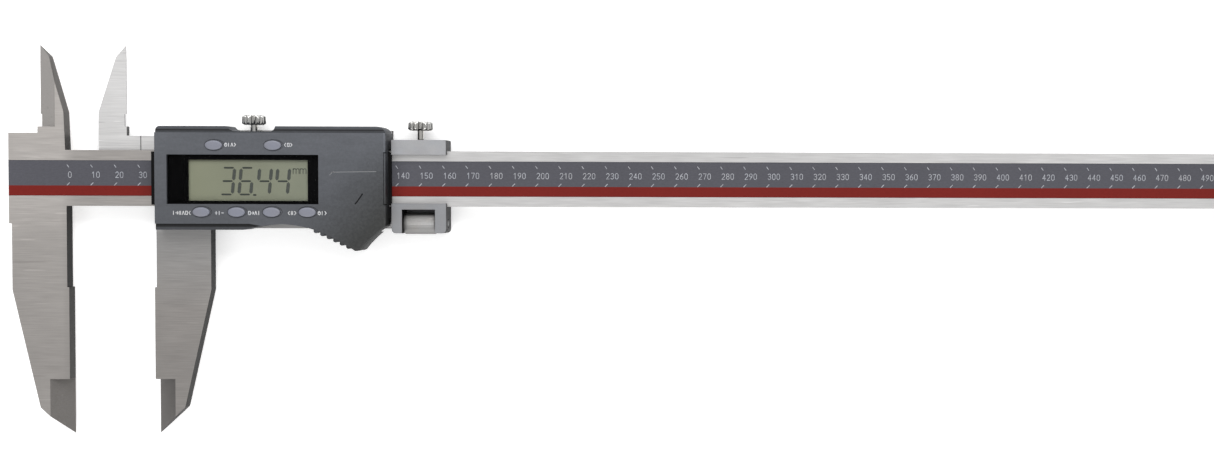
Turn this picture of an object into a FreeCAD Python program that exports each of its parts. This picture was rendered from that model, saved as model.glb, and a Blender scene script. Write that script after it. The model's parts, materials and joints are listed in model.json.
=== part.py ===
import FreeCAD, Part
import os
from collections import namedtuple

import Sketcher

# Digital caliper, 0 to 500 mm, with upper inside jaws and a fine adjustment carriage.
#
# It is drawn lying on its back with the display up. While drawing, X = 0 is the fixed jaw's
# measuring face, Y = 0 the beam's lower edge and Z = 0 the plane that the slider rests on.
# Slider and carriage parts are drawn about the moving measuring face and are moved along the
# beam by the reading. Every sub-part is then shifted so that the model's origin is the middle
# of the fixed measuring face: +X runs along the beam, +Y towards the inside jaws, +Z out of
# the display.

document = FreeCAD.newDocument("DigitalCaliper")
sheet = document.addObject("Spreadsheet::Sheet", "Dimensions")
vector = FreeCAD.Vector


class Size:
    """A length that knows its value and the spreadsheet expression that gives it."""

    def __init__(self, value, text):
        self.value = value
        self.text = text

    def __add__(self, other):
        other = as_size(other)
        return Size(self.value + other.value, f"({self.text} + {other.text})")

    def __sub__(self, other):
        other = as_size(other)
        return Size(self.value - other.value, f"({self.text} - {other.text})")

    def __mul__(self, factor):
        return Size(self.value * factor, f"({self.text} * {factor})")

    def __truediv__(self, divisor):
        return Size(self.value / divisor, f"({self.text} / {divisor})")

    def __neg__(self):
        return Size(-self.value, f"(0 - {self.text})")


def as_size(length):
    return length if isinstance(length, Size) else Size(float(length), f"{length}")


def cell(alias, value):
    """Keep a driving dimension in the next row of the sheet and return it as a Size."""
    cell.row += 1
    sheet.set(f"A{cell.row}", alias)
    sheet.set(f"B{cell.row}", str(value))
    sheet.setAlias(f"B{cell.row}", alias)
    return Size(float(value), f"Dimensions.{alias}")


cell.row = 0

# ---------------------------------------------------------------- driving dimensions, in mm
reading = cell("reading", 36.44)
running_gap = cell("running_gap", 0.05)

beam_height = cell("beam_height", 24)
beam_thickness = cell("beam_thickness", 8)
beam_back = cell("beam_back", 4)
beam_end = cell("beam_end", 650)
beam_front = beam_back + beam_thickness

strip_bottom = cell("strip_bottom", 4.4)
strip_top = cell("strip_top", 19.6)
strip_groove = cell("strip_groove", 0.3)
strip_thickness = cell("strip_thickness", 0.35)
strip_margin = cell("strip_margin", 12)

jaw_tip = cell("jaw_tip", -98.6)
jaw_width = cell("jaw_width", 24)
jaw_shoulder = cell("jaw_shoulder", -36)
jaw_face_top = cell("jaw_face_top", -35)
jaw_relief = cell("jaw_relief", 0.8)
nib_top = cell("nib_top", -74.6)
nib_width = cell("nib_width", 8.4)
nib_corner_x = cell("nib_corner_x", 12.5)
nib_corner_y = cell("nib_corner_y", -86.9)
knife_land = cell("knife_land", 0.4)

head_left = cell("head_left", -25.2)
head_top = cell("head_top", 31.3)
head_step = cell("head_step", 34)
head_step_left = cell("head_step_left", -12.8)
head_chin = cell("head_chin", -7.6)

horn_edge = cell("horn_edge", -13.8)
horn_tip = cell("horn_tip", 69.4)
horn_bend = cell("horn_bend", 40.4)
horn_bend_x = cell("horn_bend_x", -1.8)
horn_heel_x = cell("horn_heel_x", -1.2)
horn_neck = cell("horn_neck", 64.3)
horn_relief = cell("horn_relief", 0.8)
horn_relief_low = cell("horn_relief_low", 34.4)
horn_relief_high = cell("horn_relief_high", 39.7)
horn_bevel = cell("horn_bevel", 8.4)
horn_root = cell("horn_root", 12)
horn_neck_width = cell("horn_neck_width", 5.2)
rear_bevel = cell("rear_bevel", 5.6)

back_wall = cell("back_wall", 3.95)
frame_left = cell("frame_left", 3.1)
frame_right = cell("frame_right", 100.1)
frame_bottom = cell("frame_bottom", -9.6)
frame_top = cell("frame_top", 33)
rail_top = cell("rail_top", 30)
rail_bottom = cell("rail_bottom", -6.9)
rail_right = cell("rail_right", 98.3)
rail_inner = cell("rail_inner", 25.6)
rail_joint = cell("rail_joint", -8)
rail_joint_gap = cell("rail_joint_gap", 0.4)
gib_left = cell("gib_left", 4.7)
gib_thickness = cell("gib_thickness", 1.2)

housing_left = cell("housing_left", 2.9)
housing_right = cell("housing_right", 100.3)
housing_top = cell("housing_top", 34.3)
housing_bottom = cell("housing_bottom", -10)
housing_back = cell("housing_back", 4.2)
housing_front = cell("housing_front", 22)
housing_skin = cell("housing_skin", 2)
housing_wall = cell("housing_wall", 1.8)
frame_room_bottom = cell("frame_room_bottom", -7)
board_room_bottom = cell("board_room_bottom", -6)
flange_width = cell("flange_width", 2.8)
flange_drop = cell("flange_drop", 1.5)

plate_back = cell("plate_back", 12.2)
plate_front = cell("plate_front", 13.4)
board_back = cell("board_back", 13.5)
board_front = cell("board_front", 15)
board_left = cell("board_left", 11.3)
board_right = cell("board_right", 74.1)
board_bottom = cell("board_bottom", -5.75)

window_left = cell("window_left", 8)
window_right = cell("window_right", 72)
window_bottom = cell("window_bottom", 1)
window_top = cell("window_top", 22.1)
glass_left = cell("glass_left", 16.5)
glass_right = cell("glass_right", 67.1)
glass_bottom = cell("glass_bottom", 2.4)
glass_top = cell("glass_top", 19.9)

button_major = cell("button_major", 3.7)
button_minor = cell("button_minor", 2.1)
button_gap = cell("button_gap", 0.15)
button_rim = cell("button_rim", 0.6)
button_rise = cell("button_rise", 0.9)
button_travel = cell("button_travel", 0.6)
upper_button_y = cell("upper_button_y", 26.1)
lower_button_y = cell("lower_button_y", -2.4)
upper_button_x = (27.9, 52.8)
lower_button_x = (22.5, 37.4, 52.2, 67.3)

drawer_left = cell("drawer_left", 75.5)
drawer_bottom = cell("drawer_bottom", 1.1)
drawer_top = cell("drawer_top", 22.9)
drawer_back = cell("drawer_back", 15.2)
drawer_front = cell("drawer_front", 19.6)
drawer_end = cell("drawer_end", 1.8)
drawer_lip = cell("drawer_lip", 0.7)
drawer_gap = cell("drawer_gap", 0.2)
cell_radius = cell("cell_radius", 10)
cell_thickness = cell("cell_thickness", 3.2)
cell_x = cell("cell_x", 86.7)

screw_radius = cell("screw_radius", 1.1)
screw_head_radius = cell("screw_head_radius", 2.1)
upper_screw_y = cell("upper_screw_y", 28)
lower_screw_y = cell("lower_screw_y", -3.2)
left_screw_x = cell("left_screw_x", 8.2)
right_screw_x = cell("right_screw_x", 94.7)

clamp_x = cell("clamp_x", 41.8)
clamp_z = cell("clamp_z", 8)
clamp_shank = cell("clamp_shank", 1.5)
neck_rise = cell("neck_rise", 1.7)
knob_low = cell("knob_low", 35.1)
knob_high = cell("knob_high", 39.3)
knob_radius = cell("knob_radius", 5.1)
knob_waist = cell("knob_waist", 1.65)
pad_radius = cell("pad_radius", 1.9)
pad_gap = cell("pad_gap", 0.3)
pad_height = cell("pad_height", 1)

wiper_left = cell("wiper_left", -0.5)
wiper_length = cell("wiper_length", 1.2)
wiper_height = cell("wiper_height", 2.45)
wiper_margin = cell("wiper_margin", 0.6)
wiper_lift = cell("wiper_lift", 0.15)

carriage_left = cell("carriage_left", 101.7)
carriage_length = cell("carriage_length", 23.3)
carriage_front = cell("carriage_front", 15)
carriage_top = cell("carriage_top", 28.8)
carriage_bottom = cell("carriage_bottom", -11.5)
carriage_cheek = cell("carriage_cheek", 4.4)
carriage_cheek_right = cell("carriage_cheek_right", 4.7)
carriage_lip = cell("carriage_lip", 1.6)
carriage_clamp_x = cell("carriage_clamp_x", 113.2)
carriage_knob_low = cell("carriage_knob_low", 32.9)
carriage_knob_high = cell("carriage_knob_high", 36.8)
carriage_knob_radius = cell("carriage_knob_radius", 5.35)
carriage_knob_waist = cell("carriage_knob_waist", 1.4)
leaf_half_length = cell("leaf_half_length", 5)
leaf_half_width = cell("leaf_half_width", 3)
leaf_thickness = cell("leaf_thickness", 0.9)
leaf_gap = cell("leaf_gap", 0.2)
nut_window_top = cell("nut_window_top", -1.2)
nut_window_floor = cell("nut_window_floor", 1.8)
carriage_right = carriage_left + carriage_length

rod_y = cell("rod_y", -7.3)
rod_z = cell("rod_z", 8)
rod_radius = cell("rod_radius", 2)
nut_radius = cell("nut_radius", 4.65)
nut_length = cell("nut_length", 13.8)
nut_bore_gap = cell("nut_bore_gap", 0.05)

stop_thickness = beam_back
stop_length = cell("stop_length", 12)
stop_screw_places = [(beam_end - stop_length / 2, y) for y in (7, 17)]

document.recompute()

# the model's origin, seen from the drawing's own zero
datum_y = (jaw_face_top + nib_top) / 2
datum_z = (beam_back + knife_land + beam_front) / 2


# ---------------------------------------------------------------------- sketching helpers
Arc = namedtuple("Arc", "via end")
Step = namedtuple("Step", "geometry first last")


def point(place):
    return vector(as_size(place[0]).value, as_size(place[1]).value, 0)


def bind(thing, path, length):
    """Tie a property or a sketch dimension to the sheet, or just set it if it is a number."""
    length = as_size(length)
    if "Dimensions." in length.text:
        thing.setExpression(path, length.text)


def hold(sketch, geometry, corner, place):
    """Dimension one sketch point from the sketch's origin."""
    for kind, length in zip(("DistanceX", "DistanceY"), place):
        length = as_size(length)
        rule = Sketcher.Constraint(kind, -1, 1, geometry, corner, length.value)
        number = sketch.addConstraint(rule)
        bind(sketch, f"Constraints[{number}]", length)


def draw(sketch, outline):
    """Draw a closed outline. Each entry is the corner that a line runs to, or an Arc."""
    corners = [step.end if isinstance(step, Arc) else step for step in outline]
    steps = []
    for number, step in enumerate(outline):
        start = point(corners[number - 1])
        end = point(corners[number])
        if not isinstance(step, Arc):
            line = sketch.addGeometry(Part.LineSegment(start, end), False)
            steps.append(Step(line, 1, 2))
            continue
        via = point(step.via)
        turns_left = (via - start).cross(end - via).z > 0
        ends = (start, end) if turns_left else (end, start)
        curve = sketch.addGeometry(Part.Arc(ends[0], via, ends[1]), False)
        steps.append(Step(curve, 1, 2) if turns_left else Step(curve, 2, 1))
        marker = sketch.addGeometry(Part.Point(via), True)
        hold(sketch, marker, 1, step.via)
        sketch.addConstraint(Sketcher.Constraint("PointOnObject", marker, 1, curve))
    for number, step in enumerate(steps):
        after = steps[(number + 1) % len(steps)]
        joined = (step.geometry, step.last, after.geometry, after.first)
        sketch.addConstraint(Sketcher.Constraint("Coincident", *joined))
        hold(sketch, step.geometry, step.last, corners[number])


def draw_ring(sketch, centre, radius):
    radius = as_size(radius)
    circle = Part.Circle(point(centre), vector(0, 0, 1), radius.value)
    number = sketch.addGeometry(circle, False)
    hold(sketch, number, 3, centre)
    rule = sketch.addConstraint(Sketcher.Constraint("Radius", number, radius.value))
    bind(sketch, f"Constraints[{rule}]", radius)


def rectangle(left, right, bottom, top):
    return [(left, bottom), (right, bottom), (right, top), (left, top)]


def new_body(label):
    return document.addObject("PartDesign::Body", label)


def new_sketch(body, plane, offset):
    """A sketch on one of the body's own origin planes, moved along that plane's normal."""
    sketch = body.newObject("Sketcher::SketchObject", f"{body.Name}_sketch")
    origin_plane = next(f for f in body.Origin.OriginFeatures if f.Role == plane)
    sketch.AttachmentSupport = [(origin_plane, "")]
    sketch.MapMode = "FlatFace"
    offset = as_size(offset)
    sketch.AttachmentOffset = FreeCAD.Placement(vector(0, 0, offset.value), FreeCAD.Rotation())
    bind(sketch, "AttachmentOffset.Base.z", offset)
    return sketch


def feature(body, kind, sketch, depth):
    made = body.newObject(f"PartDesign::{kind}", f"{body.Name}_{kind.lower()}")
    made.Profile = sketch
    depth = as_size(depth)
    made.Length = depth.value
    bind(made, "Length", depth)
    sketch.Visibility = False
    return made


def pad(body, outline, bottom, top):
    """Add a prism between two heights."""
    sketch = new_sketch(body, "XY_Plane", bottom)
    draw(sketch, outline)
    return feature(body, "Pad", sketch, as_size(top) - bottom)


def pocket(body, outline, bottom, top):
    """Cut a prism between two heights."""
    sketch = new_sketch(body, "XY_Plane", top)
    draw(sketch, outline)
    return feature(body, "Pocket", sketch, as_size(top) - bottom)


def drill_z(body, centres, radius, bottom, top):
    """Cut round holes along Z."""
    sketch = new_sketch(body, "XY_Plane", top)
    for centre in centres:
        draw_ring(sketch, centre, radius)
    return feature(body, "Pocket", sketch, as_size(top) - bottom)


def drill_y(body, centres, radius, bottom, top):
    """Cut round holes along Y. Centres are X and Z; that plane's normal points along -Y."""
    sketch = new_sketch(body, "XZ_Plane", -as_size(bottom))
    for centre in centres:
        draw_ring(sketch, centre, radius)
    return feature(body, "Pocket", sketch, as_size(top) - bottom)


def drill_x(body, centres, radius, left, right):
    """Cut round holes along X. Centres are Y and Z."""
    sketch = new_sketch(body, "YZ_Plane", right)
    for centre in centres:
        draw_ring(sketch, centre, radius)
    return feature(body, "Pocket", sketch, as_size(right) - left)


def slice_y(body, outline, bottom, top):
    """Cut a prism that runs along Y. The outline is in X and Z."""
    sketch = new_sketch(body, "XZ_Plane", -as_size(bottom))
    draw(sketch, outline)
    return feature(body, "Pocket", sketch, as_size(top) - bottom)


def turn(body, outline, axis):
    """Turn an outline about a sketch axis. H_Axis is X and V_Axis is Y."""
    sketch = new_sketch(body, "XY_Plane", 0)
    draw(sketch, outline)
    made = body.newObject("PartDesign::Revolution", f"{body.Name}_revolution")
    made.Profile = sketch
    made.ReferenceAxis = (sketch, [axis])
    made.Angle = 360
    return made


def edges(shape, wanted):
    """The names of the straight edges for which wanted(middle, direction) holds."""
    names = []
    for number, edge in enumerate(shape.Edges, 1):
        if len(edge.Vertexes) != 2 or not isinstance(edge.Curve, Part.Line):
            continue
        middle = edge.CenterOfMass
        along = edge.tangentAt(edge.FirstParameter)
        if wanted(middle, along):
            names.append(f"Edge{number}")
    return names


def upright_at(corners, slack=0.02):
    """Picks the edges along Z that stand at one of these corners."""
    spots = [point(corner) for corner in corners]

    def wanted(middle, along):
        flat = vector(middle.x, middle.y, 0)
        return abs(along.z) > 0.99 and any((flat - spot).Length < slack for spot in spots)

    return wanted


def soften(body, kind, wanted, size):
    """Fillet or chamfer the chosen edges of the body's last feature."""
    document.recompute()
    tip = body.Tip
    names = edges(tip.Shape, wanted)
    if not names:
        raise RuntimeError(f"{body.Label}: no edge to {kind.lower()}")
    made = body.newObject(f"PartDesign::{kind}", f"{body.Name}_{kind.lower()}")
    made.Base = (tip, names)
    path = "Radius" if kind == "Fillet" else "Size"
    setattr(made, path, as_size(size).value)
    bind(made, path, size)
    return made


# ------------------------------------------------------------------------ placing helpers
sub_parts = []


def place(thing, label, along=0, across=0, up=0, on_slider=True):
    """Label a sub-part, set it at its place and keep it for the export."""
    thing.Label = label
    along = as_size(along) + reading if on_slider else as_size(along)
    shifts = (along, as_size(across) - datum_y, as_size(up) - datum_z)
    thing.Placement = FreeCAD.Placement(vector(*(s.value for s in shifts)), FreeCAD.Rotation())
    for axis, shift in zip("xyz", shifts):
        bind(thing, f"Placement.Base.{axis}", shift)
    sub_parts.append(thing)
    return thing


def block(name, x_range, y_range, z_range):
    """A plain box, still at the drawing's origin."""
    made = document.addObject("Part::Box", name)
    for path, (low, high) in zip(("Length", "Width", "Height"), (x_range, y_range, z_range)):
        length = as_size(high) - low
        setattr(made, path, length.value)
        bind(made, path, length)
    lows = [as_size(low) for low, _ in (x_range, y_range, z_range)]
    made.Placement.Base = vector(*(low.value for low in lows))
    for axis, low in zip("xyz", lows):
        bind(made, f"Placement.Base.{axis}", low)
    return made


def rod(name, radius, low, high, axis, centre):
    """A plain cylinder along one axis. The centre is the pair of its other coordinates."""
    made = document.addObject("Part::Cylinder", name)
    radius, height = as_size(radius), as_size(high) - low
    made.Radius, made.Height = radius.value, height.value
    bind(made, "Radius", radius)
    bind(made, "Height", height)
    turns = {
        "x": FreeCAD.Rotation(vector(0, 1, 0), 90),
        "y": FreeCAD.Rotation(vector(1, 0, 0), -90),
        "z": FreeCAD.Rotation(),
    }
    others = [letter for letter in "xyz" if letter != axis]
    base = {axis: as_size(low), others[0]: as_size(centre[0]), others[1]: as_size(centre[1])}
    corner = vector(*(base[letter].value for letter in "xyz"))
    made.Placement = FreeCAD.Placement(corner, turns[axis])
    for letter in "xyz":
        bind(made, f"Placement.Base.{letter}", base[letter])
    return made


def group(name, pieces):
    """Several separate solids as one sub-part."""
    made = document.addObject("Part::Compound", name)
    made.Links = pieces
    return made


def fuse(name, pieces):
    made = document.addObject("Part::MultiFuse", name)
    made.Shapes = pieces
    return made


def cut(name, base, tool):
    made = document.addObject("Part::Cut", name)
    made.Base = base
    made.Tool = tool
    return made


# ------------------------------------------------------------------------------- the beam
def knife_cut(edge_x, edge_z, face_x, face_z, beyond_x, beyond_z):
    """Outline, in X and Z, of what a bevel takes off between a knife edge and a face."""
    return [
        (edge_x, edge_z),
        (beyond_x, edge_z),
        (beyond_x, beyond_z),
        (face_x, beyond_z),
        (face_x, face_z),
    ]


def jaw_side(direction):
    """Corners of a lower jaw from its outer shoulder round the tip to the measuring face."""
    return [
        (jaw_width * direction, jaw_shoulder),
        (nib_corner_x * direction, nib_corner_y),
        (0, jaw_tip),
        (0, jaw_face_top),
        (jaw_relief * direction, jaw_face_top),
    ]


def make_main_beam():
    body = new_body("main_beam")
    jaw = jaw_side(-1)
    outline = [
        (head_left, head_chin),
        (-jaw_width, head_chin),
        *jaw,
        (-jaw_relief, 0),
        (beam_end, 0),
        (beam_end, beam_height),
        (horn_heel_x, beam_height),
        (horn_bend_x, horn_bend),
        (horn_edge + horn_neck_width, horn_neck),
        (horn_edge, horn_tip),
        (horn_edge, horn_relief_high),
        (horn_edge + horn_relief, horn_relief_high),
        (horn_edge + horn_relief, head_step),
        (head_step_left, head_step),
        (head_step_left, head_top),
        (head_left, head_top),
    ]
    pad(body, outline, beam_back, beam_front)
    clear = beam_front + 1
    edge_z = beam_back + knife_land
    nib = knife_cut(0, edge_z, -nib_width, beam_front, 1, clear)
    slice_y(body, nib, jaw_tip - 1, nib_top)
    horn = knife_cut(horn_edge, edge_z, horn_edge + horn_bevel, beam_front, horn_edge - 1, clear)
    slice_y(body, horn, head_step, horn_tip + 1)
    groove = rectangle(head_left - 1, beam_end - strip_margin, strip_bottom, strip_top)
    pocket(body, groove, beam_front - strip_groove, beam_front)
    drill_z(body, stop_screw_places, screw_radius + running_gap, beam_back, beam_back + 5)
    soften(body, "Chamfer", upright_at([(beam_end, 0), (beam_end, beam_height)]), 1)
    place(body, "main_beam", on_slider=False)


def make_scale_strip():
    groove_floor = beam_front - strip_groove
    strip = block(
        "printed_strip",
        (head_left, beam_end - strip_margin),
        (strip_bottom, strip_top),
        (groove_floor, groove_floor + strip_thickness),
    )
    place_block(strip, "scale_strip", on_slider=False)


def place_block(thing, label, on_slider=True):
    """Place a sub-part made of boxes or cylinders, which already sit at drawing positions."""
    holder = group(f"{label}_held", [thing])
    place(holder, label, on_slider=on_slider)


def make_end_stop():
    body = new_body("end_stop")
    left = beam_end - stop_length
    pad(body, rectangle(left, beam_end, 1.5, beam_height - 1.5), 0, stop_thickness)
    drill_z(body, stop_screw_places, screw_radius + running_gap, 0, stop_thickness)
    drill_z(body, stop_screw_places, screw_head_radius + running_gap, 0, 1.3)
    place(body, "end_stop", on_slider=False)
    screws = [
        screw_up(f"end_stop_screw_{number}", x, y, 0.2, beam_back + 4.5)
        for number, (x, y) in enumerate(stop_screw_places, 1)
    ]
    place(group("end_stop_screws", screws), "end_stop_screws", on_slider=False)


def screw_up(name, x, y, bottom, top, head_depth=1):
    """A cheese-head screw along Z, its slotted head at the bottom."""
    head_top = as_size(bottom) + head_depth
    head = rod(f"{name}_head", screw_head_radius, bottom, head_top, "z", (x, y))
    shank = rod(f"{name}_shank", screw_radius, bottom, top, "z", (x, y))
    low, slot_left = as_size(bottom) - 1, as_size(x) - 3
    slot_y = as_size(y) - 0.25
    slot = block(
        f"{name}_slot",
        (slot_left, slot_left + 6),
        (slot_y, slot_y + 0.5),
        (low, as_size(bottom) + 0.5),
    )
    return cut(name, fuse(f"{name}_whole", [head, shank]), slot)


# ------------------------------------------------------------------------------ the slider
case_screw_places = [
    (x, y) for x in (left_screw_x, right_screw_x) for y in (lower_screw_y, upper_screw_y)
]
plate_screw_places = [(x, y) for x in (21.7, 79.7) for y in (lower_screw_y, upper_screw_y)]
gib_screw_x = (15.7, 85.7)
rod_boss_left = cell("rod_boss_left", 81.7)
rod_boss_right = cell("rod_boss_right", 92.7)
rod_boss_bottom = cell("rod_boss_bottom", -10.6)


def make_slider_frame():
    body = new_body("slider_frame")
    horn_left = horn_edge - horn_root
    back = [
        (horn_left, 1),
        (frame_left, 1),
        (frame_left, frame_bottom),
        (frame_right, frame_bottom),
        (frame_right, frame_top),
        (frame_left, frame_top),
        (frame_left, rail_top + 0.4),
        (horn_edge, rail_top + 0.4),
        (horn_edge, horn_relief_low),
        (horn_edge - horn_relief, horn_relief_low),
        (horn_edge - horn_relief, horn_relief_high),
        (horn_edge, horn_relief_high),
        (horn_edge, horn_tip),
        (horn_edge - horn_neck_width + 0.8, horn_neck),
        (horn_left, horn_bend),
    ]
    pad(body, back, 0, back_wall)
    root = back_wall - 0.5
    side_gap = running_gap
    top_rail = rectangle(frame_left, rail_right, rail_inner, rail_top + 0.4)
    pad(body, top_rail, root, beam_front)
    neb = rectangle(frame_left, gib_left, beam_height + side_gap, rail_inner + 1)
    pad(body, neb, root, beam_front)
    bottom_rail = rectangle(jaw_relief, rail_right, rail_bottom, -side_gap)
    pad(body, bottom_rail, root, beam_front)
    jaw = [*jaw_side(1), (jaw_relief, -side_gap), (jaw_width, -side_gap)]
    pad(body, jaw, beam_back, beam_front)
    boss = rectangle(rod_boss_left, rod_boss_right, rod_boss_bottom, rail_bottom + 1)
    pad(body, boss, root, beam_front)
    edge_z = beam_back + knife_land
    nib = knife_cut(0, edge_z, nib_width, beam_front, -1, beam_front + 1)
    slice_y(body, nib, jaw_tip - 1, nib_top)
    land = back_wall - knife_land
    horn = knife_cut(horn_edge, land, horn_edge - rear_bevel, 0, horn_edge + 1, -1)
    slice_y(body, horn, horn_relief_low, horn_tip + 1)
    joint = rectangle(rail_joint, rail_joint + rail_joint_gap, beam_height, rail_top + 1)
    pocket(body, joint, back_wall - 0.8, back_wall)
    drill_x(body, [(rod_y, rod_z)], rod_radius + 0.02, rod_boss_left + 2, rail_right + 0.1)
    drill_y(body, [(clamp_x, clamp_z)], pad_radius + running_gap, rail_inner, rail_inner + 2)
    drill_y(body, [(clamp_x, clamp_z)], clamp_shank + running_gap, rail_inner, rail_top + 1)
    gib_holes = [(x, clamp_z) for x in gib_screw_x]
    drill_y(body, gib_holes, screw_radius + running_gap, rail_inner, rail_top + 1)
    drill_z(body, case_screw_places, screw_radius + running_gap, 0, beam_front)
    drill_z(body, case_screw_places, screw_head_radius + running_gap, 0, 1.5)
    drill_z(body, plate_screw_places, screw_radius + running_gap, 8, beam_front)
    place(body, "slider_frame")


def make_gib():
    low = beam_height + running_gap
    gib = block(
        "gib",
        (gib_left + 0.1, rail_right - 0.1),
        (low, low + gib_thickness),
        (beam_back + 0.3, beam_front - 0.3),
    )
    place_block(gib, "gib_strip")
    screws = []
    for number, x in enumerate(gib_screw_x, 1):
        name = f"gib_screw_{number}"
        shank = rod(f"{name}_shank", screw_radius, low + gib_thickness, rail_top, "y", (x, clamp_z))
        slot = block(
            f"{name}_slot",
            (x - 2, x + 2),
            (rail_top - 0.6, rail_top + 1),
            (clamp_z - 0.2, clamp_z + 0.2),
        )
        screws.append(cut(name, shank, slot))
    place(group("gib_screws", screws), "gib_screws")


def make_sensor_plate():
    body = new_body("sensor_plate")
    outline = rectangle(frame_left + 2, rail_right, board_bottom, rail_top)
    pad(body, outline, plate_back, plate_front)
    drill_z(body, case_screw_places, screw_radius + 0.15, plate_back, plate_front)
    drill_z(body, plate_screw_places, screw_radius + running_gap, plate_back, plate_front)
    head = screw_head_radius + running_gap
    drill_z(body, plate_screw_places, head, plate_front - 0.8, plate_front)
    place(body, "sensor_plate")
    screws = []
    for number, (x, y) in enumerate(plate_screw_places, 1):
        name = f"plate_screw_{number}"
        top = plate_front - 0.05
        head = rod(f"{name}_head", screw_head_radius, top - 0.7, top, "z", (x, y))
        shank = rod(f"{name}_shank", screw_radius, 8.4, top, "z", (x, y))
        slot = block(f"{name}_slot", (x - 3, x + 3), (y - 0.2, y + 0.2), (top - 0.4, top + 1))
        screws.append(cut(name, fuse(f"{name}_whole", [head, shank]), slot))
    place(group("plate_screws", screws), "plate_screws")


def hook_outline():
    """The housing's lower edge from its left corner round the thumb hook to its right side."""
    right = housing_right
    return [
        (housing_left, housing_bottom),
        (39.7, housing_bottom),
        Arc((47.7, -8.3), (56, -7.5)),
        Arc((68, -9.3), (79, -14)),
        (86.5, -18.3),
        Arc((87.9, -18.95), (89.3, -18.4)),
        Arc((94.2, -13), (right, -8.2)),
    ]


rib_count = 6
rib_start = (70.8, -10.35)
rib_pitch = (2.75, 1.277)


def make_housing():
    body = new_body("housing_shell")
    skin = housing_front - housing_skin
    notch_floor = housing_top - flange_width + 0.6
    outline = [
        *hook_outline(),
        (housing_right, housing_top - 4),
        Arc((housing_right - 1.17, housing_top - 1.17), (housing_right - 4, housing_top)),
        (53.4, housing_top),
        Arc((52.6, notch_floor + 0.5), (51.1, notch_floor)),
        (36.1, notch_floor),
        Arc((34.4, notch_floor + 0.7), (32.7, housing_top)),
        (housing_left + 2, housing_top),
        Arc((housing_left + 0.59, housing_top - 0.59), (housing_left, housing_top - 2)),
    ]
    pad(body, outline, housing_back, housing_front)
    inner_left = housing_left + housing_wall
    inner_right = housing_right - housing_wall
    inner_top = rail_top + 0.6
    mouth = beam_front + 0.4
    # room for the frame, and narrower room for the boards in front of it
    frame_room = rectangle(inner_left, inner_right, frame_room_bottom, inner_top)
    pocket(body, frame_room, housing_back, mouth)
    board_room = rectangle(inner_left, inner_right, board_room_bottom, inner_top)
    pocket(body, board_room, mouth, skin)
    room_overlap = frame_room_bottom + 0.5
    boss_room = rectangle(rod_boss_left - 0.4, inner_right, rod_boss_bottom - 0.3, room_overlap)
    pocket(body, boss_room, housing_back, mouth)
    # room for the beam, the top rail and the jaw's root
    left_mouth = rectangle(0, inner_left + 0.5, housing_bottom - 1, inner_top)
    pocket(body, left_mouth, housing_back, mouth)
    jaw_room = rectangle(0, jaw_width + 0.3, housing_bottom - 1, room_overlap)
    pocket(body, jaw_room, housing_back, mouth)
    right_mouth = rectangle(inner_right - 0.5, housing_right + 1, -0.6, beam_height + 0.6)
    pocket(body, right_mouth, housing_back, mouth)
    drill_x(body, [(rod_y, rod_z)], rod_radius + 0.4, inner_right - 0.5, housing_right + 1)
    # the display window, the battery drawer's slot and its end plate's seat
    window = rectangle(window_left, window_right, window_bottom, window_top)
    pocket(body, window, skin - 1, housing_front)
    slot_low, slot_high = drawer_bottom - drawer_gap, drawer_top + drawer_gap
    slot = rectangle(inner_right - 0.5, housing_right + 1, slot_low, slot_high)
    pocket(body, slot, drawer_back - drawer_gap, skin)
    lip_room_left = housing_right - drawer_lip - drawer_gap / 2
    lip_room = rectangle(
        lip_room_left, housing_right + 1, slot_low - drawer_gap, slot_high + drawer_gap
    )
    pocket(body, lip_room, skin - 1, housing_front)
    drill_y(body, [(clamp_x, clamp_z)], 2.2, inner_top - 1, housing_top)
    # stepped flanges along the top and the bottom of the face
    flange_floor = housing_front - flange_drop
    top_step = housing_top - flange_width
    upper = rectangle(housing_left - 1, housing_right + 1, top_step, housing_top + 1)
    pocket(body, upper, flange_floor, housing_front)
    low_step = housing_bottom + flange_width - 0.2
    lower = [
        (housing_left - 1, housing_bottom - 1),
        (47.7, housing_bottom - 1),
        (47.7, -8.3),
        (42.7, low_step),
        (housing_left - 1, low_step),
    ]
    pocket(body, lower, flange_floor, housing_front)
    # screw bosses that hold the shell to the frame
    for centre in case_screw_places:
        sketch = new_sketch(body, "XY_Plane", plate_front + 0.1)
        draw_ring(sketch, centre, 2.4)
        feature(body, "Pad", sketch, skin - plate_front)
    drill_z(body, case_screw_places, screw_radius + running_gap, plate_front, 18)
    # serrations under the thumb
    for number in range(rib_count):
        rib = body.newObject("PartDesign::AdditiveCylinder", f"housing_rib_{number}")
        rib.Radius = 1
        rib.Height = 17
        x = rib_start[0] + rib_pitch[0] * number
        y = rib_start[1] - rib_pitch[1] * number - 0.012 * number * number
        rib.AttachmentOffset = FreeCAD.Placement(vector(x, y, 4.7), FreeCAD.Rotation())
        plane = next(f for f in body.Origin.OriginFeatures if f.Role == "XY_Plane")
        rib.AttachmentSupport = [(plane, "")]
        rib.MapMode = "FlatFace"
    face_edge = housing_right.value

    def right_edge(middle, along):
        at_right = abs(middle.x - face_edge) < 0.02 and middle.z > housing_front.value - 0.02
        return abs(along.y) > 0.99 and at_right

    soften(body, "Chamfer", right_edge, drawer_lip)
    holes = [
        elliptic_prism(f"button_hole_{number}", x, y, button_gap, skin - 1, housing_front + 1)
        for number, (x, y) in enumerate(button_places().values())
    ]
    shell = cut("housing_with_holes", body, fuse("button_holes", holes))
    place(shell, "housing")


def button_places():
    """The buttons' names and centres."""
    upper = zip(("upper_left_button", "upper_right_button"), upper_button_x)
    places = {name: (x, upper_button_y) for name, x in upper}
    for number, x in enumerate(lower_button_x, 1):
        places[f"lower_button_{number}"] = (x, lower_button_y)
    return places


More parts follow.
